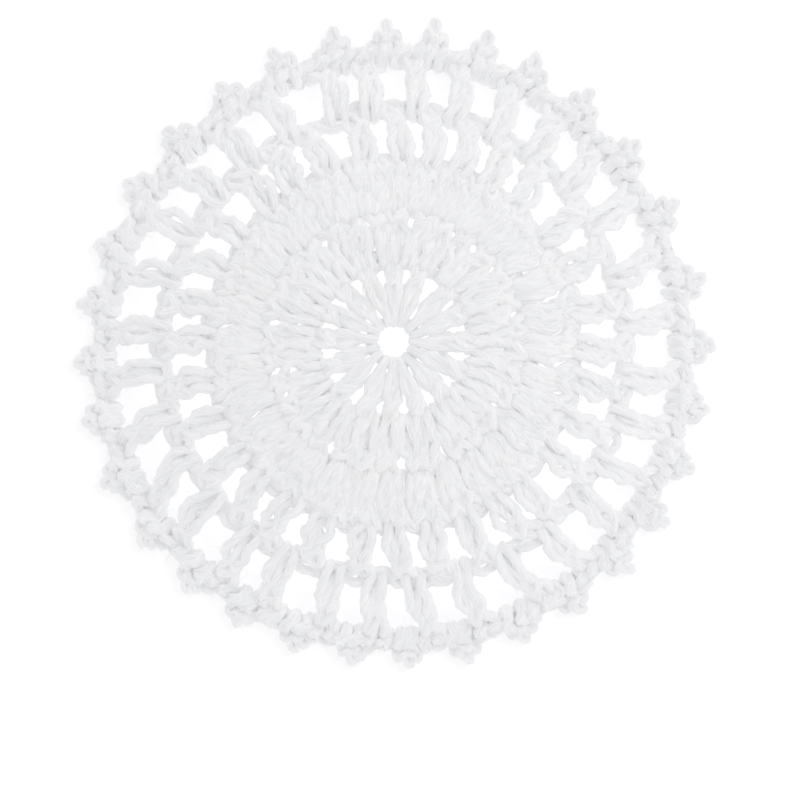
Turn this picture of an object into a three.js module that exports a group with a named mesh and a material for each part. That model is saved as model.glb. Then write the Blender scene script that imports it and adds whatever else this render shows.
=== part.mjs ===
// A crocheted hair snood for a bun, lying crown up on the edging round its mouth.
// It is worked in rounds from a small starting ring: a fan of tall stitches, two solid rounds,
// two open mesh rounds, and an edging over an elastic with a picot on each mesh opening.
// Millimetres, +Z up. The origin is at the middle of the underside, on the surface it lies on.

import * as THREE from "three";

// Worked fabric
const WALL = 2.5; // over the ridge of a stitch
const VALLEY = 1.3; // between two stitches
const EDGE = 1.4; // along the rim of a round and the sides of a post
const SEAT = 0.3; // clearance between neighbouring pieces

// Rounds, from the middle out, as seen from above
const HOLE_RADIUS = 2.5;
const START_YARN = 1.5;
const FAN_DEPTH = 8.6;
const SOLID_INNER_DEPTH = 7.9;
const SOLID_OUTER_DEPTH = 7.7;
const MESH_INNER_DEPTH = 8.3;
const MESH_OUTER_DEPTH = 6.2;

// Posts of the open rounds, and the band of chain above their openings
const FAN_POST = 2.9;
const FAN_WEB = 3.4; // length over which the fan's posts still touch
const FAN_CHAIN = 1.1;
const MESH_POST = 3.1;
const MESH_INNER_CHAIN = 4.8; // with the feet of the outer mesh wrapped round it
const MESH_OUTER_CHAIN = 1.2;
const POST_ROOM = 0.84; // largest share of its pitch that a post takes

// Stitches in each round
const FAN_STITCHES = 16;
const SOLID_INNER_STITCHES = 32;
const SOLID_OUTER_STITCHES = 64;
const MESH_STITCHES = 32;

// Crown
const DOME_RISE = 16.5; // from the middle of the edging to the top of the crown
const DOME_FULLNESS = 2.5; // 2 is a plain bowl, and more is flatter on top
const LEAN = 3; // degrees that a mesh post turns on its way out

// Edging, elastic and picots
const ELASTIC = 0.9;
const BAND_WEB = 0.9; // between the mesh and the elastic
const BAND_LIP = 0.55; // above and below the elastic
const LIP_EDGE = 0.7; // share of its thickness that the upper lip keeps at its rim
const PICOT_LENGTH = 3.1;
const PICOT_WIDTH = 4.4;
const PICOT_HEIGHT = 2.3;
const PICOT_FOOT = 0.6; // flat underside, as a share of the width
const PICOT_CREST = 0.5; // flat top, as a share of the width

// The pitch of hand-worked stitches wanders in a few slow waves round the snood.
const FIRST_CELL = 2.2; // degrees to the middle of the first opening of the outer mesh
const PITCH_WAVES = [
  { waves: 1, degrees: 1.2, phase: 130 },
  { waves: 2, degrees: 2.0, phase: -11 },
  { waves: 3, degrees: 1.4, phase: -64 },
  { waves: 4, degrees: 0.9, phase: -140 },
];

// Sections from the foot to the head of a solid round, as shares of its depth, WALL and VALLEY
const SOLID_SECTIONS = [
  { out: 0.0, ridge: 0.8, valley: 1.0 },
  { out: 0.4, ridge: 1.0, valley: 1.0 },
  { out: 0.8, ridge: 1.0, valley: 1.3 },
  { out: 1.0, ridge: 0.8, valley: 1.3 },
];

// Sections of an open round. Those of a post run from its foot to its chain, and those of the chain
// from there to the head. Widths are shares of the post, ridges of WALL and sides of EDGE.
const POST_SECTIONS = [
  { out: 0.0, wide: 1.0, ridge: 1.0, side: 1.0 },
  { out: 0.5, wide: 1.0, ridge: 1.0, side: 1.0 },
];
const CHAIN_SECTIONS = [
  { out: 0.0, wide: 1.15, ridge: 1.0, side: 1.0 },
  { out: 0.5, wide: 1.15, ridge: 1.0, side: 1.6 },
  { out: 1.0, wide: 1.15, ridge: 0.7, side: 1.0 },
];
const WEB_SECTION = { out: 0.0, wide: 0.5, ridge: 0.8, side: 0.9 };

// Sections along a picot, as shares of its length, width and height
const PICOT_SECTIONS = [
  { out: 0.0, wide: 0.84, low: 0.1, high: 0.94 },
  { out: 0.45, wide: 1.0, low: 0.0, high: 1.0 },
  { out: 1.0, wide: 0.5, low: 0.08, high: 0.74 },
];

const ROUND_SIDES = 64; // facets round the edging and the elastic
const START_SIDES = 24; // facets round the starting ring
const YARN_SIDES = 6; // facets round a yarn or the elastic's section

const startRadius = HOLE_RADIUS + START_YARN / 2;
const fanInner = HOLE_RADIUS + START_YARN + SEAT;
const fanOuter = fanInner + FAN_DEPTH;
const solidInnerOuter = fanOuter + SEAT + SOLID_INNER_DEPTH;
const solidOuterOuter = solidInnerOuter + SEAT + SOLID_OUTER_DEPTH;
const meshInnerOuter = solidOuterOuter + SEAT + MESH_INNER_DEPTH;
const meshOuterOuter = meshInnerOuter + SEAT + MESH_OUTER_DEPTH;
const bandInner = meshOuterOuter + SEAT;
const channelInner = bandInner + BAND_WEB;
const elasticRadius = channelInner + SEAT + ELASTIC / 2;
const bandOuter = elasticRadius + ELASTIC / 2;
const picotInner = bandOuter + SEAT;
const bandHeight = ELASTIC + 2 * SEAT + 2 * BAND_LIP;

const FULL_TURN = 2 * Math.PI;
const meshStitches = Math.round(MESH_STITCHES);
const meshPitch = FULL_TURN / meshStitches;
const firstCell = THREE.MathUtils.degToRad(FIRST_CELL);

// The crown's middle surface is a flattened bowl: its height falls with a power of the radius.
function domeHeight(radius) {
  return bandHeight / 2 + DOME_RISE * (1 - (radius / bandInner) ** DOME_FULLNESS);
}

function domeSlope(radius) {
  const steepest = (DOME_RISE * DOME_FULLNESS) / bandInner;
  return Math.atan(steepest * (radius / bandInner) ** (DOME_FULLNESS - 1));
}

// A point of the crown's section, as radius and height, lifted off the middle surface at right angles.
function lifted(radius, lift) {
  const slope = domeSlope(radius);
  return new THREE.Vector2(radius + lift * Math.sin(slope), domeHeight(radius) + lift * Math.cos(slope));
}

// Where an even angle lands with the wandering pitch, which tells more the further out it is.
function wandered(angle, radius) {
  const degrees = PITCH_WAVES.reduce((sum, wave) => {
    return sum + wave.degrees * Math.sin(wave.waves * angle + THREE.MathUtils.degToRad(wave.phase));
  }, 0);
  return angle + THREE.MathUtils.degToRad(degrees) * (radius / bandInner);
}

// A closed ring of fabric. vertexAt(column, row) gives the radius, the angle and the thickness there,
// and a cell for which isOpen is true is a hole right through the fabric.
function fabricRing(columns, rows, vertexAt, isOpen = () => false) {
  const positions = [];
  const index = [];
  for (let row = 0; row <= rows; row++) {
    for (let column = 0; column < columns; column++) {
      const { radius, angle, thick } = vertexAt(column, row);
      const turned = wandered(angle, radius);
      for (const lift of [thick / 2, -thick / 2]) {
        const point = lifted(radius, lift);
        positions.push(point.x * Math.cos(turned), point.x * Math.sin(turned), point.y);
      }
    }
  }
  const outer = (column, row) => 2 * (row * columns + ((column + columns) % columns));
  const inner = (column, row) => outer(column, row) + 1;
  const isGone = (column, row) => {
    return row < 0 || row >= rows || isOpen((column + columns) % columns, row);
  };
  const quad = (a, b, c, d) => index.push(a, b, c, a, c, d);

  for (let row = 0; row < rows; row++) {
    for (let column = 0; column < columns; column++) {
      if (isOpen(column, row)) continue;
      const corners = [[column, row], [column, row + 1], [column + 1, row + 1], [column + 1, row]];
      const beyond = [[column - 1, row], [column, row + 1], [column + 1, row], [column, row - 1]];
      const [a, b, c, d] = corners;
      quad(outer(...a), outer(...b), outer(...c), outer(...d));
      quad(inner(...a), inner(...d), inner(...c), inner(...b));
      beyond.forEach((cell, side) => {
        if (!isGone(...cell)) return;
        const from = corners[side];
        const to = corners[(side + 1) % corners.length];
        quad(outer(...to), outer(...from), inner(...from), inner(...to));
      });
    }
  }
  return new THREE.BufferGeometry()
    .setAttribute("position", new THREE.Float32BufferAttribute(positions, 3))
    .setIndex(index);
}

// A round whose posts touch: a ridge on each stitch and a valley beside it.
function solidRound({ inside, depth, stitches }) {
  const columns = 2 * Math.round(stitches);
  return fabricRing(columns, SOLID_SECTIONS.length - 1, (column, row) => {
    const { out, ridge, valley } = SOLID_SECTIONS[row];
    return {
      radius: inside + out * depth,
      angle: (column / columns) * FULL_TURN,
      thick: column % 2 ? valley * VALLEY : ridge * WALL,
    };
  });
}

// A round of separate posts joined by the chain at their heads. Each post has a ridge between two sides.
// Over the length web, next to its foot, it touches its neighbours.
function openRound({ inside, depth, chain, stitches, post, firstPost = 0, lean = 0, web = 0 }) {
  const foot = inside + web;
  const chainFoot = inside + depth - chain;
  const place = (section, from, length) => ({ ...section, radius: from + section.out * length });
  const sections = [
    ...(web > 0 ? [place(WEB_SECTION, inside, web)] : []),
    ...POST_SECTIONS.map((section) => place(section, foot, chainFoot - foot)),
    ...CHAIN_SECTIONS.map((section) => place(section, chainFoot, chain)),
  ];
  const firstOpen = sections.findIndex((section) => section.radius === foot);
  const columnsPerStitch = 3;
  const columns = columnsPerStitch * Math.round(stitches);
  const pitch = (columnsPerStitch * FULL_TURN) / columns;
  const turn = THREE.MathUtils.degToRad(lean);

  const vertexAt = (column, row) => {
    const { radius, wide, ridge, side } = sections[row];
    const across = (column % columnsPerStitch) - 1; // -1 and 1 are the sides, 0 is the ridge
    const width = Math.min(wide * post, POST_ROOM * pitch * radius);
    const middle = firstPost + Math.floor(column / columnsPerStitch) * pitch;
    const leaned = turn * ((radius - inside) / depth - 0.5);
    return {
      radius,
      angle: middle + leaned + (across * width) / 2 / radius,
      thick: across === 0 ? ridge * WALL : side * EDGE,
    };
  };
  const isOpen = (column, row) => {
    const besidePost = column % columnsPerStitch === columnsPerStitch - 1;
    return besidePost && row >= firstOpen && row < firstOpen + POST_SECTIONS.length;
  };
  return fabricRing(columns, sections.length - 1, vertexAt, isOpen);
}

// The edging is a ring with a channel that opens outwards, in which the elastic lies.
function bandGeometry() {
  const lowerLip = BAND_LIP;
  const upperLip = bandHeight - BAND_LIP;
  const section = [
    lifted(bandInner, -EDGE / 2),
    new THREE.Vector2(bandInner, 0),
    new THREE.Vector2(bandOuter, 0),
    new THREE.Vector2(bandOuter, lowerLip),
    new THREE.Vector2(channelInner, lowerLip),
    new THREE.Vector2(channelInner, upperLip),
    new THREE.Vector2(bandOuter, upperLip),
    new THREE.Vector2(bandOuter, upperLip + LIP_EDGE * BAND_LIP),
    new THREE.Vector2((channelInner + bandOuter) / 2, bandHeight),
    lifted(bandInner, EDGE / 2),
  ];
  section.push(section[0].clone());
  return new THREE.LatheGeometry(section, ROUND_SIDES).rotateX(Math.PI / 2);
}

// A picot is a small bobble with a flat underside, drawn as hexagons along its length.
function picotGeometry() {
  const rings = PICOT_SECTIONS.map(({ out, wide, low, high }) => {
    const x = picotInner + out * PICOT_LENGTH;
    const half = (wide * PICOT_WIDTH) / 2;
    const bottom = low * PICOT_HEIGHT;
    const top = high * PICOT_HEIGHT;
    const middle = (bottom + top) / 2;
    return [
      [x, -PICOT_FOOT * half, bottom],
      [x, PICOT_FOOT * half, bottom],
      [x, half, middle],
      [x, PICOT_CREST * half, top],
      [x, -PICOT_CREST * half, top],
      [x, -half, middle],
    ];
  });
  const sides = rings[0].length;
  const index = [];
  for (let ring = 0; ring < rings.length - 1; ring++) {
    for (let side = 0; side < sides; side++) {
      const a = ring * sides + side;
      const b = ring * sides + ((side + 1) % sides);
      index.push(a, b, b + sides, a, b + sides, a + sides);
    }
  }
  const tip = (rings.length - 1) * sides;
  for (let side = 1; side < sides - 1; side++) {
    index.push(0, side + 1, side);
    index.push(tip, tip + side, tip + side + 1);
  }
  return new THREE.BufferGeometry()
    .setAttribute("position", new THREE.Float32BufferAttribute(rings.flat(2), 3))
    .setIndex(index);
}

const yarn = new THREE.MeshStandardMaterial({ color: 0xf0f0f2, roughness: 0.95, metalness: 0 });
const rubber = new THREE.MeshStandardMaterial({ color: 0xe8e8ea, roughness: 0.7, metalness: 0 });

function piece(name, geometry, material = yarn) {
  const mesh = new THREE.Mesh(geometry, material);
  mesh.name = name;
  return mesh;
}

function startRing() {
  const mesh = piece("start_ring", new THREE.TorusGeometry(startRadius, START_YARN / 2, YARN_SIDES, START_SIDES));
  mesh.position.z = domeHeight(startRadius);
  return mesh;
}

function elastic() {
  const ring = new THREE.TorusGeometry(elasticRadius, ELASTIC / 2, YARN_SIDES, ROUND_SIDES);
  const mesh = piece("elastic", ring, rubber);
  mesh.position.z = bandHeight / 2;
  return mesh;
}

// One picot stands at the middle of each opening of the outer mesh.
function picots() {
  const group = new THREE.Group();
  for (let count = 0; count < meshStitches; count++) {
    const mesh = piece(`picot_${String(count + 1).padStart(2, "0")}`, picotGeometry());
    mesh.rotation.z = wandered(firstCell + count * meshPitch, bandInner);
    group.add(mesh);
  }
  return group;
}

const fan = openRound({
  inside: fanInner,
  depth: FAN_DEPTH,
  chain: FAN_CHAIN,
  stitches: FAN_STITCHES,
  post: FAN_POST,
  web: FAN_WEB,
});
const solidInner = solidRound({
  inside: fanOuter + SEAT,
  depth: SOLID_INNER_DEPTH,
  stitches: SOLID_INNER_STITCHES,
});
const solidOuter = solidRound({
  inside: solidInnerOuter + SEAT,
  depth: SOLID_OUTER_DEPTH,
  stitches: SOLID_OUTER_STITCHES,
});
const meshInner = openRound({
  inside: solidOuterOuter + SEAT,
  depth: MESH_INNER_DEPTH,
  chain: MESH_INNER_CHAIN,
  stitches: meshStitches,
  post: MESH_POST,
  firstPost: firstCell,
  lean: LEAN,
});
const meshOuter = openRound({
  inside: meshInnerOuter + SEAT,
  depth: MESH_OUTER_DEPTH,
  chain: MESH_OUTER_CHAIN,
  stitches: meshStitches,
  post: MESH_POST,
  firstPost: firstCell + meshPitch / 2,
  lean: LEAN,
});

const snood = new THREE.Group();
snood.name = "crochet_snood";
snood.add(
  startRing(),
  piece("fan_round", fan),
  piece("solid_round_inner", solidInner),
  piece("solid_round_outer", solidOuter),
  piece("mesh_round_inner", meshInner),
  piece("mesh_round_outer", meshOuter),
  piece("edging_band", bandGeometry()),
  elastic(),
  picots(),
);

export default snood;
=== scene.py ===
"""Looks of a crocheted hair snood.

Each round of stitches is one length of plied yarn, swept along the route that the hook gives it, and
laid on the crown that the CAD frame holds. Routes are written in yarn radii and shares of a stitch,
so that one short table serves every stitch of its kind. Metres, +Z up.
"""

import math

import bpy
import numpy as np
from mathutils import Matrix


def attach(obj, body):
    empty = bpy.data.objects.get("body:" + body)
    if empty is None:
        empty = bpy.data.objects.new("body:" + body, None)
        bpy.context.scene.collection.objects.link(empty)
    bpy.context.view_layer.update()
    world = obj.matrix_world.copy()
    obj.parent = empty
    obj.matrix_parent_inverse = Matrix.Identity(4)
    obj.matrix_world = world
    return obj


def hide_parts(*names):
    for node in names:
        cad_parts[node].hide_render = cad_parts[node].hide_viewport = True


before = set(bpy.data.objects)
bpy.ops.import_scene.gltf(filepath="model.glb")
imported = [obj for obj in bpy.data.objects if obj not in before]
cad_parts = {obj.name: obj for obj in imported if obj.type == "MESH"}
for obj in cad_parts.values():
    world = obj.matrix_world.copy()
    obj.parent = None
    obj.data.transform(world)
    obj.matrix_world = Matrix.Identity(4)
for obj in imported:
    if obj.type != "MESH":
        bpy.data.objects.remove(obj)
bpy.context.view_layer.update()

MM = 0.001
rng = np.random.default_rng(20)

# Crown, as in the CAD model
RIM = 44.6 * MM  # plan radius where the crown meets the edging
RIM_HEIGHT = 1.3 * MM
RISE = 16.5 * MM
FULLNESS = 2.5
FLOOR_GAP = 0.05 * MM

# The pitch of hand-worked stitches wanders in a few slow waves round the snood.
FIRST_CELL = math.radians(2.2)
PITCH_WAVES = [
    {"waves": 1, "degrees": 0.3, "phase": 71},
    {"waves": 2, "degrees": 2.0, "phase": -11},
    {"waves": 3, "degrees": 1.4, "phase": -64},
    {"waves": 4, "degrees": 0.9, "phase": -140},
]

# The edge lies a little wider in some places than in others.
RIM_WAVES = [
    {"waves": 2, "share": 0.006, "phase": -84},
    {"waves": 3, "share": 0.009, "phase": -151},
]

# Yarn
YARN = 0.82 * MM  # radius
STEP = 0.65 * MM  # between two sections of the swept yarn
PICOT_STEP = 0.4 * MM
PLY_PITCH = 13 * MM  # length of one full turn of the plies, which are only loosely twisted
PLY_SECTION = [1.0, 0.82]  # radius at the crest of a ply and in the groove beside it, in yarn radii
PLIES = 5
ROUGH = 0.04  # unevenness of the yarn's surface, in yarn radii
WAVER = 0.05  # share by which the yarn's thickness wavers
WAVER_LENGTHS = [2.3 * MM, 7.1 * MM]
SQUEEZE = 0.8  # how far the worked fabric is flattened
STRAY = 0.2  # unevenness of the route, in yarn radii
CROWDED = 6.5 * MM  # nearer the middle than this, the yarn is pulled thinner
THINNEST = 0.62
BOW = 1.1 * MM  # how far a post curves back against its lean
BOW_START = 0.6  # share of the fan's radius from which on posts bow
ARCH = 0.6  # how far a post stands up in its middle, in yarn radii
SWELL = 0.2  # unevenness of bow and arch, as a share of each
PLACE_STRAY = 0.08  # unevenness of a stitch's place, as a share of the pitch
HEAD_STRAY = 0.3 * MM  # unevenness of a stitch's height
SUNK = 0.6  # how far a head lies below the fabric's middle where the next round hides it, in yarn radii

# Loose fibres that stand off the yarn
FIBRE_RADIUS = 0.04 * MM
FIBRE_LENGTH = 1.2 * MM
LONGEST = 2  # no fibre is longer than this many such lengths
FIBRE_FOOT = 0.1 * MM  # how deep its foot lies in the yarn
FIBRE_KNEE = 0.45  # share of its length where it bends
FIBRES_PER_METRE = 1400
FUZZ_LENGTH = 0.7 * MM
FUZZ_FOOT = 0.05 * MM
FUZZ_PER_METRE = 1600
CHOICES = 4  # places looked at for each one that gets a fibre

# Fine strands that lie loose on the yarn
STRAND_RADIUS = 0.1 * MM
STRAND_POINTS = 12
STRANDS_PER_METRE = 75

# Rounds, from the middle out: plan radii of the chain that each makes and the next is worked on
RING_RADIUS = 3.6 * MM
FAN_HEAD = 12.9 * MM
SOLID_INNER_HEAD = 21.0 * MM
SOLID_OUTER_HEAD = 28.0 * MM
MESH_INNER_HEAD = 35.8 * MM
MESH_OUTER_HEAD = 45.0 * MM
EDGING_FOOT = 44.7 * MM  # where the edging goes round the outermost chain
EDGING_HEAD = 45.7 * MM
PICOT_SHOULDER = 0.6 * MM  # how much further out the edging stands beside a picot
CELLS = 32
CELL = 2 * math.pi / CELLS
EDGING_PER_CELL = 4

# How far each round's stitches lean from foot to head, in radians
FAN_LEAN = math.radians(7)
SOLID_INNER_LEAN = math.radians(5)
SOLID_OUTER_LEAN = math.radians(4)
MESH_INNER_LEAN = math.radians(3)
MESH_OUTER_LEAN = math.radians(3.5)

# Elastic and picots
ELASTIC_RADIUS = 46.1 * MM  # of its circle
ELASTIC_THICKNESS = 0.45 * MM
PICOT_MIDDLE = 47.1 * MM  # plan radius of the line that picots stand on
PICOT_YARN = 0.6 * MM  # the links of a picot are pulled tight
PICOT_LEAN = 0.2  # how far the tip leans the way the work goes, as a share of its reach
PICOT_STRAY = 0.12  # unevenness of its points in millimetres, and of its lean
LONG_SIDE = math.radians(60)  # where picots reach furthest
LONG_SIDE_GAIN = 0.26  # how much further that is, as a share of the usual reach

# Light
# The ground's glow is a painted pool of light in its middle, and paints shade in the openings near the rim.
GLOW_RADIUS = 22 * MM  # of the brighter middle of the ground
GLOW_END = 46 * MM  # where its glow has fallen to that of the rest
GLOW_MIDDLE = 0.9
GLOW_OUTSIDE = 0.4
TENT_SIDES = 1.08
TENT_TOP = 0.27
VIEW_GAMMA = 3.3  # makes all tones as pale as in the photograph

# Routes of the yarn, a row for each point that it passes.
# across: yarn radii to the left of the stitch's middle, which is the way the work goes
# along: share of the way from foot to head
# past: yarn radii further along
# lift: yarn radii off the middle of the fabric
DOUBLE_CROCHET = [
    # the wrap comes from behind and crosses the front of the post at a slant
    (-1.2, 0.88, 0.0, -1.0),
    (-1.3, 0.83, 0.0, 0.2),
    (-0.7, 0.76, 0.0, 1.2),
    (0.5, 0.64, 0.0, 1.2),
    (1.2, 0.55, 0.0, 0.4),
    (1.0, 0.44, 0.0, -0.8),
    # down the back, under the chain of the round before, and out to the front
    (0.3, 0.3, 0.0, -0.1),
    (0.2, 0.14, 0.0, -0.5),
    (-0.5, 0.0, -1.0, -1.2),
    (-0.7, 0.0, -1.75, 0.2),
    # first loop, up one side of the post and down the other
    (-0.85, 0.0, -1.45, 1.1),
    (-1.0, 0.1, 0.0, 1.4),
    (-1.15, 0.24, 0.0, 1.1),
    (-1.1, 0.4, 0.0, 0.8),
    (-0.8, 0.53, 0.0, 0.6),
    (-0.35, 0.6, 0.0, 0.1),
    (0.35, 0.6, 0.0, 0.1),
    (0.8, 0.53, 0.0, 0.6),
    (1.1, 0.4, 0.0, 0.8),
    (1.15, 0.24, 0.0, 1.1),
    (1.0, 0.1, 0.0, 1.4),
    (0.85, 0.0, -1.45, 1.1),
    (0.7, 0.0, -1.75, 0.2),
    (0.5, 0.0, -1.0, -1.2),
    (0.0, 0.08, 0.0, 0.2),
    (-0.1, 0.28, 0.0, 0.6),
    # second loop, through the first
    (-0.1, 0.46, 0.0, 0.5),
    (-0.5, 0.57, 0.0, 0.6),
    (-0.95, 0.7, 0.0, 0.9),
    (-0.95, 0.84, 0.0, 0.8),
    (-0.5, 0.96, 0.0, 0.3),
    (0.4, 0.96, 0.0, 0.3),
    (0.95, 0.84, 0.0, 0.8),
    (0.95, 0.7, 0.0, 0.9),
    (0.5, 0.55, 0.0, 0.4),
    (0.2, 0.5, 0.0, -0.3),
    (0.0, 0.68, 0.0, 0.2),
    (0.0, 0.88, 0.0, 0.0),
]
SINGLE_CROCHET = [
    (-0.7, 0.6, 0.0, -1.5),
    (-0.4, 0.0, -0.7, -1.7),
    (-0.5, 0.0, -1.3, -0.8),
    (-0.6, 0.0, -1.4, 0.5),
    (-0.75, 0.0, -0.8, 1.8),
    (-0.75, 0.3, 0.0, 2.0),
    (-0.6, 0.8, 0.0, 1.4),
    (0.0, 1.0, 0.3, 0.7),
    (0.6, 0.8, 0.0, 1.4),
    (0.8, 0.3, 0.0, 2.0),
    (0.8, 0.0, -0.8, 1.8),
    (0.65, 0.0, -1.4, 0.5),
    (0.5, 0.0, -1.3, -0.8),
    (0.4, 0.0, -0.6, -1.7),
    (0.1, 0.7, 0.0, -1.2),
]
# One link of chain comes up through the loop before it, goes over that loop's end, opens and turns back.
# along is the share of the way to the next link.
LINK = [
    # along, past, lift
    (-0.2, -0.3, -1.2),
    (0.05, -0.45, -0.1),
    (0.35, -0.85, 0.2),
    (0.7, -1.0, 0.0),
    (0.98, -0.75, -0.3),
    (1.12, 0.0, -0.5),
    (0.98, 0.75, -0.4),
    (0.7, 1.0, -0.2),
    (0.35, 0.85, 0.0),
    (0.05, 0.45, -0.2),
    (-0.2, 0.3, -1.2),
]
LINK_BACK = [
    (0.3, 0.0, -1.8),
    (0.7, 0.0, -1.7),
]
# Three chain stitches closed in a ring: a low lobe, a long one in the middle and another low one
PICOT = [
    # across and out in millimetres, lift in yarn radii
    (-1.6, -1.4, -0.4),
    (-2.0, -0.1, 0.2),
    (-2.0, 0.8, 0.5),
    (-1.5, 1.2, 0.8),
    (-1.0, 0.7, 0.9),
    (-0.45, 1.0, 0.5),
    (-0.5, 1.9, 0.3),
    (-0.25, 2.45, 0.4),
    (0.25, 2.45, 0.5),
    (0.5, 1.9, 0.7),
    (0.4, 0.9, 0.9),
    (0.2, 0.0, 1.6),
    (0.9, 0.5, 0.9),
    (1.3, 1.15, 0.6),
    (1.9, 0.8, 0.3),
    (1.9, -0.2, 0.1),
    (1.2, -1.2, -0.2),
    (0.4, -0.6, 0.9),
    (-0.2, 0.5, 1.6),
    (-1.0, -0.3, 1.2),
    (-1.3, -1.4, 0.3),
]


def slow_waves(angle, waves, size):
    """A sum of sine waves round the snood, each with its own size, number and phase."""
    return sum(wave[size] * np.sin(wave["waves"] * angle + math.radians(wave["phase"])) for wave in waves)


def wandered(angle, radius):
    """Adds the wandering pitch, which tells in proportion to the radius."""
    return angle + np.radians(slow_waves(angle, PITCH_WAVES, "degrees")) * radius / RIM


def crown(radius):
    """Height and steepness of the crown, whose fall from the top is a power of the share of the radius."""
    share = np.clip(radius / RIM, 0, 1)
    height = RIM_HEIGHT + RISE * (1 - share**FULLNESS)
    steepness = RISE * FULLNESS / RIM * share ** (FULLNESS - 1)
    return height, steepness


def on_crown(angle, radius, lift):
    """Points on the crown, with lift at right angles to it.

    The fabric turns level over two millimetres at the rim, and the rim's waves fade with the square of
    the radius.
    """
    height, steepness = crown(radius)
    slope = np.arctan(steepness) * np.clip((RIM + 1.5 * MM - radius) / (2 * MM), 0, 1)
    waves = slow_waves(angle, RIM_WAVES, "share")
    out = (radius + lift * np.sin(slope)) * (1 + waves * (radius / RIM) ** 2)
    turned = wandered(angle, radius)
    return np.stack([out * np.cos(turned), out * np.sin(turned), height + lift * np.cos(slope)], axis=-1)


def thinning(radius):
    """Share of its full thickness that the yarn keeps, which falls in proportion towards the middle."""
    return np.clip(radius / CROWDED, THINNEST, 1)


def plan_yarn(radius):
    """How far one yarn radius along the crown reaches in plan: the radius times the slope's cosine."""
    return YARN * thinning(radius) * np.cos(np.arctan(crown(radius)[1]))


def narrowing(radius, pitch):
    """Share of its width that a stitch keeps: the room beyond 1.5 yarn radii, over 2.3 of them."""
    room = radius * pitch
    return np.clip((room - 1.5 * YARN) / (2.3 * YARN), 0.3, 1)


def stitch_points(route, foot, head, foot_angle, head_angle, pitch, spread, sunk):
    """Places one stitch.

    Its middle turns evenly from foot to head, less a half sine wave that bows it. A head that the next
    round hides sinks evenly over the last third of the way.
    """
    across, along, past, lift = np.array(route).T
    across = across + rng.normal(0, STRAY, len(across))
    past = past + rng.normal(0, STRAY, len(across))
    lift = lift + rng.normal(0, STRAY, len(across))
    radius = foot + along * (head - foot)
    radius = radius + past * plan_yarn(radius)
    swell = rng.normal(1, SWELL) * np.sin(math.pi * np.clip(along, 0, 1))
    bow = BOW * swell * np.clip(radius / FAN_HEAD - BOW_START, 0, 1)
    middle = foot_angle + along * (head_angle - foot_angle) - bow / radius
    angle = middle + across * spread * YARN * narrowing(radius, pitch) / radius
    lift = lift + ARCH * swell - sunk * np.clip(3 * along - 2, 0, 1)
    return on_crown(angle, radius, lift * YARN * SQUEEZE)


def link_points(rows, head, start, length, width, sunk):
    """Places one link of chain: its shares of the way turn evenly from one link to the next."""
    along, past, lift = np.array(rows).T
    past = width * past + rng.normal(0, STRAY, len(past))
    lift = lift + rng.normal(0, STRAY, len(past)) - sunk
    radius = head + past * plan_yarn(head)
    return on_crown(start + along * length, radius, lift * YARN * SQUEEZE)


def round_route(route, foot, head, foot_angles, head_angles, links=1, width=1.0, spread=1.0, sunk=0.0):
    """The yarn of one round: each stitch, then the links of chain up to the next stitch's head."""
    count = len(head_angles)
    pitch = 2 * math.pi / count
    head_angles = head_angles + rng.normal(0, PLACE_STRAY, count) * pitch
    foot_angles = foot_angles + rng.normal(0, PLACE_STRAY, count) * pitch
    heads = np.resize(head, count) + rng.normal(0, HEAD_STRAY, count)
    points = []
    for stitch in range(count):
        following = (stitch + 1) % count
        reach = (head_angles[following] - head_angles[stitch]) % (2 * math.pi)
        ends = foot, heads[stitch], foot_angles[stitch], head_angles[stitch]
        points.append(stitch_points(route, *ends, pitch, spread, sunk))
        for link in range(links):
            start = head_angles[stitch] + link * reach / links
            rows = LINK + LINK_BACK if link < links - 1 else LINK
            points.append(link_points(rows, heads[stitch], start, reach / links, width, sunk))
    return np.concatenate(points)


def picot_route(angle):
    """Places one picot. Its reach goes by the cosine from the long side, and its lean by its reach."""
    across, out, lift = np.array(PICOT).T
    across = (across + rng.normal(0, PICOT_STRAY, len(out))) * MM
    reach = 1 + LONG_SIDE_GAIN * math.cos(angle - LONG_SIDE) + rng.normal(0, PICOT_STRAY / 2)
    out = (out + rng.normal(0, PICOT_STRAY, len(out))) * MM * reach
    across = across - (PICOT_LEAN + rng.normal(0, PICOT_STRAY)) * np.maximum(out, 0)
    return on_crown(angle - across / PICOT_MIDDLE, PICOT_MIDDLE + out, lift * PICOT_YARN)


def unit(vectors):
    """Vectors divided by their length."""
    return vectors / np.linalg.norm(vectors, axis=-1, keepdims=True)


def smooth_path(points, step=STEP):
    """A smooth curve through the points, cut into equal steps.

    Each stretch between two points is a cubic that leaves each of them along the line of its neighbours.
    """
    padded = np.concatenate([points[:1], points, points[-1:]])[:, None, :]
    before, first, last, beyond = padded[:-3], padded[1:-2], padded[2:-1], padded[3:]
    share = np.linspace(0, 1, 8, endpoint=False)[None, :, None]
    square = (2 * before - 5 * first + 4 * last - beyond) * share**2
    cube = (3 * first - before - 3 * last + beyond) * share**3
    curve = 0.5 * (2 * first + (last - before) * share + square + cube)
    curve = np.concatenate([curve.reshape(-1, 3), points[-1:]])
    lengths = np.concatenate([[0], np.cumsum(np.linalg.norm(np.diff(curve, axis=0), axis=1))])
    count = max(4, int(lengths[-1] / step))
    even = np.linspace(0, lengths[-1], count)
    return np.stack([np.interp(even, lengths, curve[:, axis]) for axis in range(3)], axis=-1), even


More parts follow.
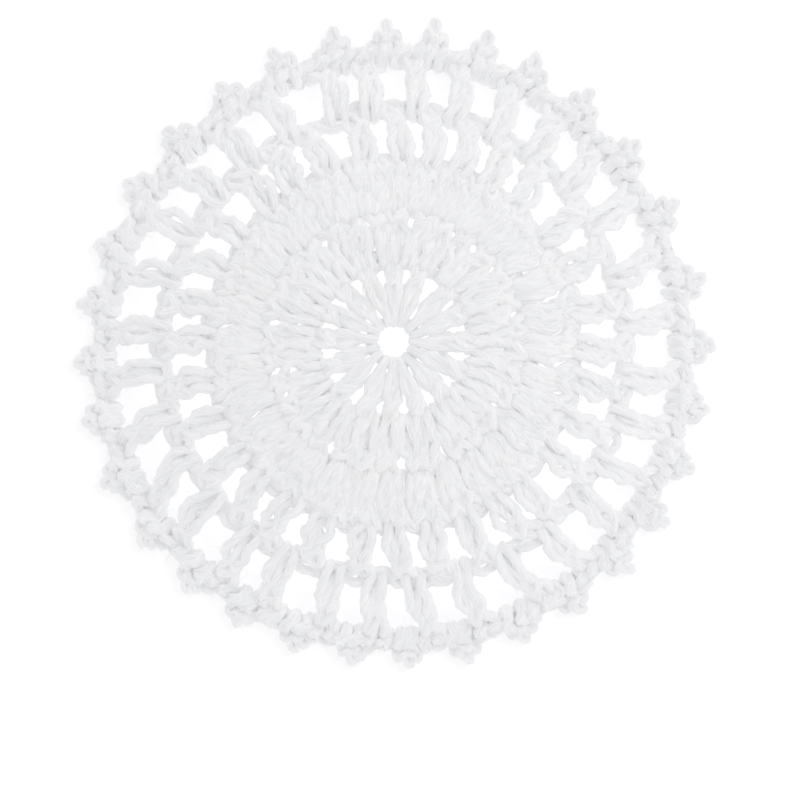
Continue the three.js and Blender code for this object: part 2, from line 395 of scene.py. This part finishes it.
def carried_normals(path, tangents):
    """Normals that don't spin about the path, each carried on from the one before by two reflections."""
    start = np.cross(tangents[0], (0, 0, 1))
    normal = start / np.linalg.norm(start)
    normals = [normal]
    steps = np.diff(path, axis=0)
    for index, step in enumerate(steps):
        shift = 2 / step.dot(step)
        carried = normal - shift * step.dot(normal) * step
        turned = tangents[index] - shift * step.dot(tangents[index]) * step
        bend = tangents[index + 1] - turned
        normal = carried - 2 / max(bend.dot(bend), 1e-12) * bend.dot(carried) * bend
        normals.append(normal)
    return np.array(normals)


def swept(path, distance, radius, section, twist):
    """Sweeps a section, given as radii round it, along a path, and turns it evenly with the distance.

    A vertex is the path's point plus its radius times the cosine and the sine of its turn, along the two
    normals there. Returns vertices by path point and side.
    """
    tangents = np.gradient(path, axis=0)
    tangents /= np.linalg.norm(tangents, axis=1)[:, None]
    normals = carried_normals(path, tangents)
    across = np.cross(tangents, normals)
    sides = len(section)
    turn = np.arange(sides) / sides * 2 * math.pi + (distance * twist)[:, None]
    reach = radius[:, None] * np.array(section)
    return (
        path[:, None, :]
        + (reach * np.cos(turn))[..., None] * normals[:, None, :]
        + (reach * np.sin(turn))[..., None] * across[:, None, :]
    )


def yarn_surface(points, thickness=YARN, step=STEP):
    """One length of plied yarn through the points, kept above the floor.

    The plies are crests and grooves round its section. Its thickness wavers with two sine waves, and each
    vertex is moved in or out by chance.
    """
    path, distance = smooth_path(points, step)
    path[:, 2] = np.maximum(path[:, 2], thickness + FLOOR_GAP)
    quick, slow = (np.sin(distance / length) for length in WAVER_LENGTHS)
    radius = thickness * thinning(np.hypot(path[:, 0], path[:, 1])) * (1 + WAVER * quick * slow)
    rings = swept(path, distance, radius, PLY_SECTION * PLIES, 2 * math.pi / PLY_PITCH)
    bumps = 1 + rng.normal(0, ROUGH, rings.shape[:2])[..., None]
    rings = path[:, None, :] + (rings - path[:, None, :]) * bumps
    rings[..., 2] = np.maximum(rings[..., 2], FLOOR_GAP)
    return rings, distance


def tube_mesh(name, tubes, closed=False):
    """Joins swept tubes into one mesh, with u along the yarn in millimetres and v round it.

    A closed tube's last section is its first again, and an open tube's ends are each closed by one face.
    """
    vertices, corners, lengths, uvs = [], [], [], []
    offset = 0
    for rings, distance in tubes:
        u = distance / MM
        rings = rings[:-1] if closed else rings
        count, sides = rings.shape[:2]
        v = np.arange(sides + 1) / sides
        row, side = np.meshgrid(np.arange(len(distance) - 1), np.arange(sides), indexing="ij")
        this = row * sides
        after = (row + 1) % count * sides
        following = (side + 1) % sides
        quads = np.stack([this + side, this + following, after + following, after + side], axis=-1)
        quad_u = np.stack([u[row], u[row], u[row + 1], u[row + 1]], axis=-1)
        quad_v = np.stack([v[side], v[side + 1], v[side + 1], v[side]], axis=-1)
        corners.append(quads.ravel() + offset)
        uvs.append(np.stack([quad_u.ravel(), quad_v.ravel()], axis=-1))
        lengths.append(np.full(row.size, 4))
        if not closed:
            around = np.arange(sides)
            corners.append(around[::-1] + offset)
            corners.append(around + (count - 1) * sides + offset)
            uvs.append(np.stack([np.full(sides, u[0]), v[:-1][::-1]], axis=-1))
            uvs.append(np.stack([np.full(sides, u[-1]), v[:-1]], axis=-1))
            lengths.append(np.full(2, sides))
        vertices.append(rings.reshape(-1, 3))
        offset += count * sides
    mesh = filled_mesh(name, np.concatenate(vertices), np.concatenate(corners), np.concatenate(lengths))
    layer = mesh.uv_layers.new(name="along_yarn")
    layer.data.foreach_set("uv", np.concatenate(uvs).astype(np.float32).ravel())
    return mesh


def filled_mesh(name, vertices, corners, lengths):
    """A smooth mesh from its vertices, the vertex at each corner, and each face's number of corners."""
    mesh = bpy.data.meshes.new(name)
    mesh.vertices.add(len(vertices))
    mesh.vertices.foreach_set("co", vertices.astype(np.float32).ravel())
    mesh.loops.add(len(corners))
    mesh.loops.foreach_set("vertex_index", corners.astype(np.int32))
    mesh.polygons.add(len(lengths))
    starts = np.concatenate([[0], np.cumsum(lengths)[:-1]])
    mesh.polygons.foreach_set("loop_start", starts.astype(np.int32))
    mesh.polygons.foreach_set("use_smooth", np.ones(len(lengths), dtype=bool))
    mesh.update()
    return mesh


def fibre_mesh(name, tubes):
    """Long bent fibres, short straight fuzz and fine strands along the yarn, each a thin closed spike.

    The places of fibres and fuzz are drawn from the yarn's vertices by chance, open places more often.
    """
    rings = np.concatenate([tube[0][1:-1] for tube in tubes])
    middles = rings.mean(axis=1)
    runs = unit(np.gradient(middles, axis=0))
    metres = sum(tube[1][-1] for tube in tubes)
    long_count, short_count = int(metres * FIBRES_PER_METRE), int(metres * FUZZ_PER_METRE)
    count = long_count + short_count
    spot = rng.integers(1, len(rings) - 1, CHOICES * count)
    root = rings[spot, rng.integers(0, rings.shape[1], CHOICES * count)]
    out = unit(root - middles[spot])
    kept = rng.choice(len(spot), count, replace=False, p=openness(root, out))
    run = runs[spot[kept]] * rng.choice([-1, 1], count)[:, None]
    root, out = root[kept], out[kept]
    long = bent_fibres(root[:long_count], out[:long_count], run[:long_count])
    short = straight_fuzz(root[long_count:], out[long_count:], run[long_count:])

    vertices, corners = [], []
    offset = 0
    for group, faces in (long, short, fine_strands(tubes)):
        number, points = group.shape[:2]
        corners.append((np.array(faces)[None] + points * np.arange(number)[:, None, None]).ravel() + offset)
        vertices.append(group.reshape(-1, 3))
        offset += number * points
    vertices, corners = np.concatenate(vertices), np.concatenate(corners)
    vertices[:, 2] = np.maximum(vertices[:, 2], FLOOR_GAP)
    return filled_mesh(name, vertices, corners, np.full(len(corners) // 3, 3))


def three_corners(middle, side, other, radius):
    """The corners of a small triangle about each middle, a third of a turn apart."""
    turns = 2 * math.pi * np.arange(3) / 3
    return [middle + radius * (side * math.cos(turn) + other * math.sin(turn)) for turn in turns]


def fine_strands(tubes):
    """Each follows the yarn's upper side, stands off it by half a sine wave, and tapers to its ends."""
    strands = []
    for rings, distance in tubes:
        count = int(distance[-1] * STRANDS_PER_METRE)
        middles = rings.mean(axis=1)
        first = rng.integers(0, len(rings) - STRAND_POINTS - 2, count)
        places = first[:, None] + np.arange(STRAND_POINTS + 2)
        path = middles[places]
        along = unit(np.gradient(path, axis=1))
        upwards = unit(np.cross(np.cross(along, (0.0, 0.0, 1.0)), along) + 1e-9)
        aside = np.cross(along, upwards)
        share = np.linspace(0, 1, STRAND_POINTS + 2)
        turn = rng.normal(0, 0.8, (count, 1)) + rng.normal(0, 0.9, (count, 1)) * (share - 0.5)
        rise = STRAND_RADIUS * (0.2 + rng.uniform(0, 1.6, (count, 1)) * np.sin(math.pi * share))
        off = np.linalg.norm(rings[places, 0] - path, axis=-1) + rise
        outward = upwards * np.cos(turn)[..., None] + aside * np.sin(turn)[..., None]
        middle = path + off[..., None] * outward
        strands.append(np.stack([middle, outward, np.cross(along, outward)], axis=2))

    strands = np.concatenate(strands)
    middle, side, other = strands[:, 1:-1, 0], strands[:, 1:-1, 1], strands[:, 1:-1, 2]
    radius = STRAND_RADIUS * (0.5 + 0.5 * np.sin(math.pi * np.linspace(0, 1, STRAND_POINTS)))[:, None]
    points = np.stack(three_corners(middle, side, other, radius), axis=2).reshape(len(strands), -1, 3)
    points = np.concatenate([points, strands[:, :1, 0], strands[:, -1:, 0]], axis=1)

    last = 3 * STRAND_POINTS
    faces = []
    for corner in range(3):
        following = (corner + 1) % 3
        faces.append((following, corner, last))
        faces.append((last - 3 + corner, last - 3 + following, last + 1))
        for row in range(0, last - 3, 3):
            faces.append((row + corner, row + following, row + 3 + following))
            faces.append((row + corner, row + 3 + following, row + 3 + corner))
    return points, faces


def bent_fibres(root, out, run):
    """Each runs along the yarn and outwards, then bends back by the square of its length, and tapers."""
    count = len(root)
    standing = rng.random((count, 1))
    start = unit((0.3 + 0.7 * standing) * out + run + rng.normal(0, 0.4, (count, 3)))
    bend = rng.normal(0, 0.35, (count, 3)) - (0.2 - 0.2 * standing) * out
    reach = FIBRE_LENGTH * np.minimum(rng.lognormal(0, 0.4, count), LONGEST)[:, None]
    side = unit(np.cross(start, rng.normal(0, 1, (count, 3))))
    other = np.cross(start, side)
    foot = root - FIBRE_FOOT * out
    knee = root + reach * (start * FIBRE_KNEE + bend * FIBRE_KNEE**2)
    points = three_corners(foot, side, other, 0.8 * FIBRE_RADIUS)
    points += three_corners(knee, side, other, FIBRE_RADIUS)
    points.append(root + reach * (start + bend))
    faces = [(2, 1, 0)]
    for corner in range(3):
        following = (corner + 1) % 3
        faces.append((corner, following, 3 + following))
        faces.append((corner, 3 + following, 3 + corner))
        faces.append((3 + corner, 3 + following, 6))
    return np.stack(points, axis=1), faces


def straight_fuzz(root, out, run):
    """Each is a straight spike that stands off the yarn at a slant."""
    count = len(root)
    start = unit(rng.uniform(0.3, 1.2, (count, 1)) * out + run + rng.normal(0, 0.5, (count, 3)))
    reach = FUZZ_LENGTH * rng.lognormal(0, 0.35, count)[:, None]
    side = unit(np.cross(start, rng.normal(0, 1, (count, 3))))
    points = three_corners(root - FUZZ_FOOT * out, side, np.cross(start, side), FIBRE_RADIUS)
    points.append(root + reach * start)
    return np.stack(points, axis=1), [(2, 1, 0), (0, 1, 3), (1, 2, 3), (2, 0, 3)]


def openness(places, directions):
    """Chance of a fibre at each place.

    It grows with the height above the fabric's middle and with how far the place faces outwards. On the
    inside of the fabric it grows the other way, three tenths as fast.
    """
    radius = np.hypot(places[:, 0], places[:, 1])
    height, steepness = crown(radius)
    lift = (places[:, 2] - height) / np.hypot(1, steepness) / YARN
    downhill = places[:, :2] / radius[:, None] * steepness[:, None]
    facing = (unit(np.column_stack([downhill, np.ones_like(radius)])) * directions).sum(axis=1)
    chance = 0.1 + np.clip(lift, 0, 2.5) * np.clip(facing + 0.4, 0, 1)
    chance += 0.3 * np.clip(-lift - 1, 0, 1.5) * np.clip(0.2 - facing, 0, 1)
    return chance / chance.sum()


def add_yarn(name, tubes, *nodes):
    """A length of yarn in the place of its CAD nodes, and the loose fibres on it."""
    add_piece(name + "_yarn", tube_mesh(name + "_yarn", tubes), white_yarn, "yarn", *nodes)
    add_piece(name + "_fibres", fibre_mesh(name + "_fibres", tubes), loose_fibre, "yarn")


def add_piece(name, mesh, material, slot, *nodes):
    """Puts a mesh in the scene on the root body, in the place of the CAD nodes that it stands for."""
    mesh.materials.append(material)
    piece = bpy.data.objects.new(name, mesh)
    bpy.context.scene.collection.objects.link(piece)
    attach(piece, "root")
    if nodes:
        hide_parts(*nodes)


def yarn_material():
    """White cotton: soft and matt, with strands that run along the yarn, shade painted into the grooves
    between them, and a faint change of tone.
    """
    darker, lighter = (0.9, 0.905, 0.93, 1), (0.97, 0.97, 0.985, 1)
    material, shader, nodes, links = toned_material("white_yarn", darker, lighter)
    shader.subsurface_method = "BURLEY"
    shader.inputs["Subsurface Weight"].default_value = 0.75
    shader.inputs["Subsurface Radius"].default_value = (1, 1, 1)
    shader.inputs["Subsurface Scale"].default_value = 0.6 * MM
    shader.inputs["Sheen Weight"].default_value = 0.6
    shader.inputs["Sheen Roughness"].default_value = 0.5

    along = nodes.new("ShaderNodeUVMap")
    along.uv_map = "along_yarn"
    stretch = nodes.new("ShaderNodeMapping")
    stretch.inputs["Scale"].default_value = (0.35, 18, 1)
    strands = nodes.new("ShaderNodeTexNoise")
    strands.inputs["Scale"].default_value = 1
    strands.inputs["Detail"].default_value = 4
    strands.inputs["Roughness"].default_value = 0.65
    # Painted shade: the ramp darkens the yarn where the strands' noise is low, which is where the bump
    # sinks it into grooves.
    shade = nodes.new("ShaderNodeValToRGB")
    shade.color_ramp.elements[0].position = 0.38
    shade.color_ramp.elements[0].color = (0.7, 0.71, 0.735, 1)
    shade.color_ramp.elements[1].position = 0.56
    shade.color_ramp.elements[1].color = (1, 1, 1, 1)
    painted_groove_shade = nodes.new("ShaderNodeMix")
    painted_groove_shade.data_type = "RGBA"
    painted_groove_shade.blend_type = "MULTIPLY"
    painted_groove_shade.inputs["Factor"].default_value = 1
    bump = nodes.new("ShaderNodeBump")
    bump.inputs["Strength"].default_value = 1
    bump.inputs["Distance"].default_value = 0.25 * MM

    tone = shader.inputs["Base Color"].links[0].from_socket
    links.new(along.outputs["UV"], stretch.inputs["Vector"])
    links.new(stretch.outputs["Vector"], strands.inputs["Vector"])
    links.new(strands.outputs["Fac"], shade.inputs["Fac"])
    links.new(tone, painted_groove_shade.inputs["A"])
    links.new(shade.outputs["Color"], painted_groove_shade.inputs["B"])
    links.new(painted_groove_shade.outputs["Result"], shader.inputs["Base Color"])
    links.new(strands.outputs["Fac"], bump.inputs["Height"])
    links.new(bump.outputs["Normal"], shader.inputs["Normal"])
    return material


def toned_material(name, darker, lighter):
    """A matt material with a faint patchy change of tone."""
    material = bpy.data.materials.new(name)
    material.use_nodes = True
    nodes, links = material.node_tree.nodes, material.node_tree.links
    shader = nodes["Principled BSDF"]
    shader.inputs["Roughness"].default_value = 0.95
    shader.inputs["Specular IOR Level"].default_value = 0.2
    place = nodes.new("ShaderNodeTexCoord")
    patches = nodes.new("ShaderNodeTexNoise")
    patches.inputs["Scale"].default_value = 220
    patches.inputs["Detail"].default_value = 3
    tone = nodes.new("ShaderNodeValToRGB")
    tone.color_ramp.elements[0].position = 0.3
    tone.color_ramp.elements[0].color = darker
    tone.color_ramp.elements[1].position = 0.7
    tone.color_ramp.elements[1].color = lighter
    links.new(place.outputs["Object"], patches.inputs["Vector"])
    links.new(patches.outputs["Fac"], tone.inputs["Fac"])
    links.new(tone.outputs["Color"], shader.inputs["Base Color"])
    return material, shader, nodes, links


def elastic_material():
    """Thin covered elastic: white thread wound round a rubber core."""
    material = bpy.data.materials.new("covered_elastic")
    material.use_nodes = True
    nodes, links = material.node_tree.nodes, material.node_tree.links
    shader = nodes["Principled BSDF"]
    shader.inputs["Base Color"].default_value = (0.8, 0.82, 0.84, 1)
    shader.inputs["Roughness"].default_value = 0.6
    along = nodes.new("ShaderNodeUVMap")
    along.uv_map = "along_yarn"
    winding = nodes.new("ShaderNodeTexWave")
    winding.inputs["Scale"].default_value = 1.2
    bump = nodes.new("ShaderNodeBump")
    bump.inputs["Distance"].default_value = 0.05 * MM
    links.new(along.outputs["UV"], winding.inputs["Vector"])
    links.new(winding.outputs["Fac"], bump.inputs["Height"])
    links.new(bump.outputs["Normal"], shader.inputs["Normal"])
    return material


def paired_feet(heads, lean, apart):
    """Feet in pairs, and the middle of each pair, which is its two heads' middle less the lean."""
    middles = heads.reshape(-1, 2).mean(axis=1) - lean
    return np.stack([middles - apart, middles + apart], axis=1).ravel(), middles


def crocheted_rounds():
    """The five rounds of double crochet. Each leans the way the work goes, and stands on the one before."""
    cell_starts = FIRST_CELL + np.arange(CELLS) * CELL
    half_cells = FIRST_CELL + np.arange(2 * CELLS) * CELL / 2
    mesh_outer_feet = cell_starts + CELL / 2 - MESH_OUTER_LEAN / 2
    mesh_inner_feet = cell_starts - MESH_INNER_LEAN * 0.7
    solid_outer_heads = half_cells - CELL / 8
    solid_outer_feet, middles = paired_feet(solid_outer_heads, SOLID_OUTER_LEAN, 0.22 * CELL)
    solid_inner_heads = middles + CELL / 8
    solid_inner_feet, middles = paired_feet(solid_inner_heads, SOLID_INNER_LEAN, 0.45 * CELL)
    fan_heads = FAN_LEAN / 3 + np.arange(CELLS // 2) * 2 * CELL

    ends = RING_RADIUS, FAN_HEAD, fan_heads - FAN_LEAN, fan_heads
    add_round("fan_round", *ends, width=0.9, spread=0.95)
    ends = FAN_HEAD, SOLID_INNER_HEAD, solid_inner_feet, solid_inner_heads
    add_round("solid_round_inner", *ends, spread=1.4, sunk=SUNK)
    ends = SOLID_INNER_HEAD, SOLID_OUTER_HEAD, solid_outer_feet, solid_outer_heads
    add_round("solid_round_outer", *ends, width=0.7, spread=1.35, sunk=SUNK / 2)
    ends = SOLID_OUTER_HEAD, MESH_INNER_HEAD, mesh_inner_feet, mesh_inner_feet + MESH_INNER_LEAN
    add_round("mesh_round_inner", *ends, links=2, width=1.3, spread=1.45)
    ends = MESH_INNER_HEAD, MESH_OUTER_HEAD, mesh_outer_feet, mesh_outer_feet + MESH_OUTER_LEAN
    add_round("mesh_round_outer", *ends, links=3, width=0.6, spread=1.4)


def add_round(node, *ends, **shape):
    """Adds the yarn of one round of double crochet, from its feet to its heads."""
    add_yarn(node, [yarn_surface(round_route(DOUBLE_CROCHET, *ends, **shape))], node)


def start_ring():
    """The ring that the work starts from: two turns of yarn, which cross and wobble by sine waves."""
    turn = np.linspace(0, 4 * math.pi, 49)
    wobble = 0.3 * MM * np.sin(2 * turn + 0.6) * np.sin(turn - 0.4)
    radius = RING_RADIUS + 0.2 * YARN * np.sin(turn / 2) + wobble
    points = on_crown(turn, radius, 0.4 * YARN * np.cos(turn / 2))
    add_yarn("start_ring", [yarn_surface(points)], "start_ring")


def edging():
    """Single crochet worked over the outer chain and the elastic, further out beside each picot."""
    count = CELLS * EDGING_PER_CELL
    angles = FIRST_CELL + (np.arange(count) + 0.5) * CELL / EDGING_PER_CELL
    beside_picot = np.resize([1, -0.4, -0.4, 1], count)  # the four stitches from one picot to the next
    heads = EDGING_HEAD + PICOT_SHOULDER * beside_picot
    route = round_route(SINGLE_CROCHET, EDGING_FOOT, heads, angles, angles, width=0.6)
    add_yarn("edging", [yarn_surface(route)], "edging_band")


def picots():
    """One picot on the middle of each outer opening."""
    routes = [picot_route(FIRST_CELL + cell * CELL) for cell in range(CELLS)]
    tubes = [yarn_surface(route, PICOT_YARN, PICOT_STEP) for route in routes]
    nodes = [f"picot_{number:02d}" for number in range(1, CELLS + 1)]
    add_yarn("picots", tubes, *nodes)


def elastic():
    """The elastic runs in a circle inside the edging, under its outer loops."""
    turn = np.linspace(0, 2 * math.pi, 8 * CELLS + 1)
    points = on_crown(turn, np.full_like(turn, ELASTIC_RADIUS), np.zeros_like(turn))
    path, distance = smooth_path(points)
    rings = swept(path, distance, np.full(len(path), ELASTIC_THICKNESS), [1.0] * 8, 0)
    mesh = tube_mesh("elastic", [(rings, distance)], closed=True)
    add_piece("elastic_thread", mesh, elastic_material(), "elastic", "elastic")


def stage():
    """A white ground, as of a light table; its glow, a painted pool of light, falls evenly between two
    radii.
    """
    bpy.ops.mesh.primitive_plane_add(size=6)
    floor = bpy.context.object
    floor.name = "floor"
    material = bpy.data.materials.new("glowing_ground")
    material.use_nodes = True
    nodes, links = material.node_tree.nodes, material.node_tree.links
    shader = nodes["Principled BSDF"]
    shader.inputs["Base Color"].default_value = (0.9, 0.9, 0.9, 1)
    shader.inputs["Roughness"].default_value = 1
    shader.inputs["Emission Color"].default_value = (0.97, 0.965, 1, 1)
    place = nodes.new("ShaderNodeTexCoord")
    radius = nodes.new("ShaderNodeVectorMath")
    radius.operation = "LENGTH"
    # Painted light: more glow under the crown and less towards the rim, with a faint lavender tint.
    glow = nodes.new("ShaderNodeMapRange")
    glow.inputs["From Min"].default_value = GLOW_RADIUS
    glow.inputs["From Max"].default_value = GLOW_END
    glow.inputs["To Min"].default_value = GLOW_MIDDLE
    glow.inputs["To Max"].default_value = GLOW_OUTSIDE
    links.new(place.outputs["Object"], radius.inputs[0])
    links.new(radius.outputs["Value"], glow.inputs["Value"])
    links.new(glow.outputs["Result"], shader.inputs["Emission Strength"])
    floor.data.materials.append(material)


def area_light(name, direction, distance, size, power):
    """A soft square light that looks at the snood."""
    data = bpy.data.lights.new(name, "AREA")
    data.size = size
    data.energy = power
    light = bpy.data.objects.new(name, data)
    place = np.array(direction) / np.linalg.norm(direction) * distance
    light.location = place
    light.rotation_euler = (math.acos(place[2] / distance), 0, math.atan2(place[1], place[0]) + math.pi / 2)
    bpy.context.scene.collection.objects.link(light)


def lights():
    """A light tent, brighter round its sides than overhead, and one soft light from the upper right."""
    world = bpy.data.worlds.new("surround")
    world.use_nodes = True
    nodes, links = world.node_tree.nodes, world.node_tree.links
    nodes["Background"].inputs["Color"].default_value = (0.98, 0.985, 1, 1)
    direction = nodes.new("ShaderNodeTexCoord")
    height = nodes.new("ShaderNodeSeparateXYZ")
    fade = nodes.new("ShaderNodeMapRange")
    fade.inputs["From Min"].default_value = 0
    fade.inputs["From Max"].default_value = 1
    fade.inputs["To Min"].default_value = TENT_SIDES
    fade.inputs["To Max"].default_value = TENT_TOP
    links.new(direction.outputs["Generated"], height.inputs["Vector"])
    links.new(height.outputs["Z"], fade.inputs["Value"])
    links.new(fade.outputs["Result"], nodes["Background"].inputs["Strength"])
    bpy.context.scene.world = world
    area_light("key", direction=(0.65, 0.4, 1.2), distance=1.2, size=0.5, power=4.3)


def camera():
    """Looks down from the front at the photograph's angle, with the rim's middle at its place there."""
    pixel = 0.1545 * MM
    frame_pixels = 800
    rim_middle = (394, 349)
    elevation = math.radians(87)
    distance = 0.6
    data = bpy.data.cameras.new("camera")
    data.sensor_width = 36
    data.lens = data.sensor_width * distance / (pixel * frame_pixels)
    right = (frame_pixels / 2 - rim_middle[0]) * pixel
    down = (frame_pixels / 2 - rim_middle[1]) * pixel
    view = bpy.data.objects.new("camera", data)
    view.rotation_euler = (math.pi / 2 - elevation, 0, 0)
    view.location = (
        right,
        -distance * math.cos(elevation) - down * math.sin(elevation),
        RIM_HEIGHT + distance * math.sin(elevation) - down * math.cos(elevation),
    )
    bpy.context.scene.collection.objects.link(view)
    bpy.context.scene.camera = view


white_yarn = yarn_material()
loose_fibre = toned_material("loose_fibre", (0.93, 0.935, 0.95, 1), (0.98, 0.98, 0.985, 1))[0]
camera()
stage()
lights()
start_ring()
crocheted_rounds()
edging()
elastic()
picots()

bpy.context.scene.view_settings.view_transform = "Standard"
bpy.context.scene.view_settings.gamma = VIEW_GAMMA
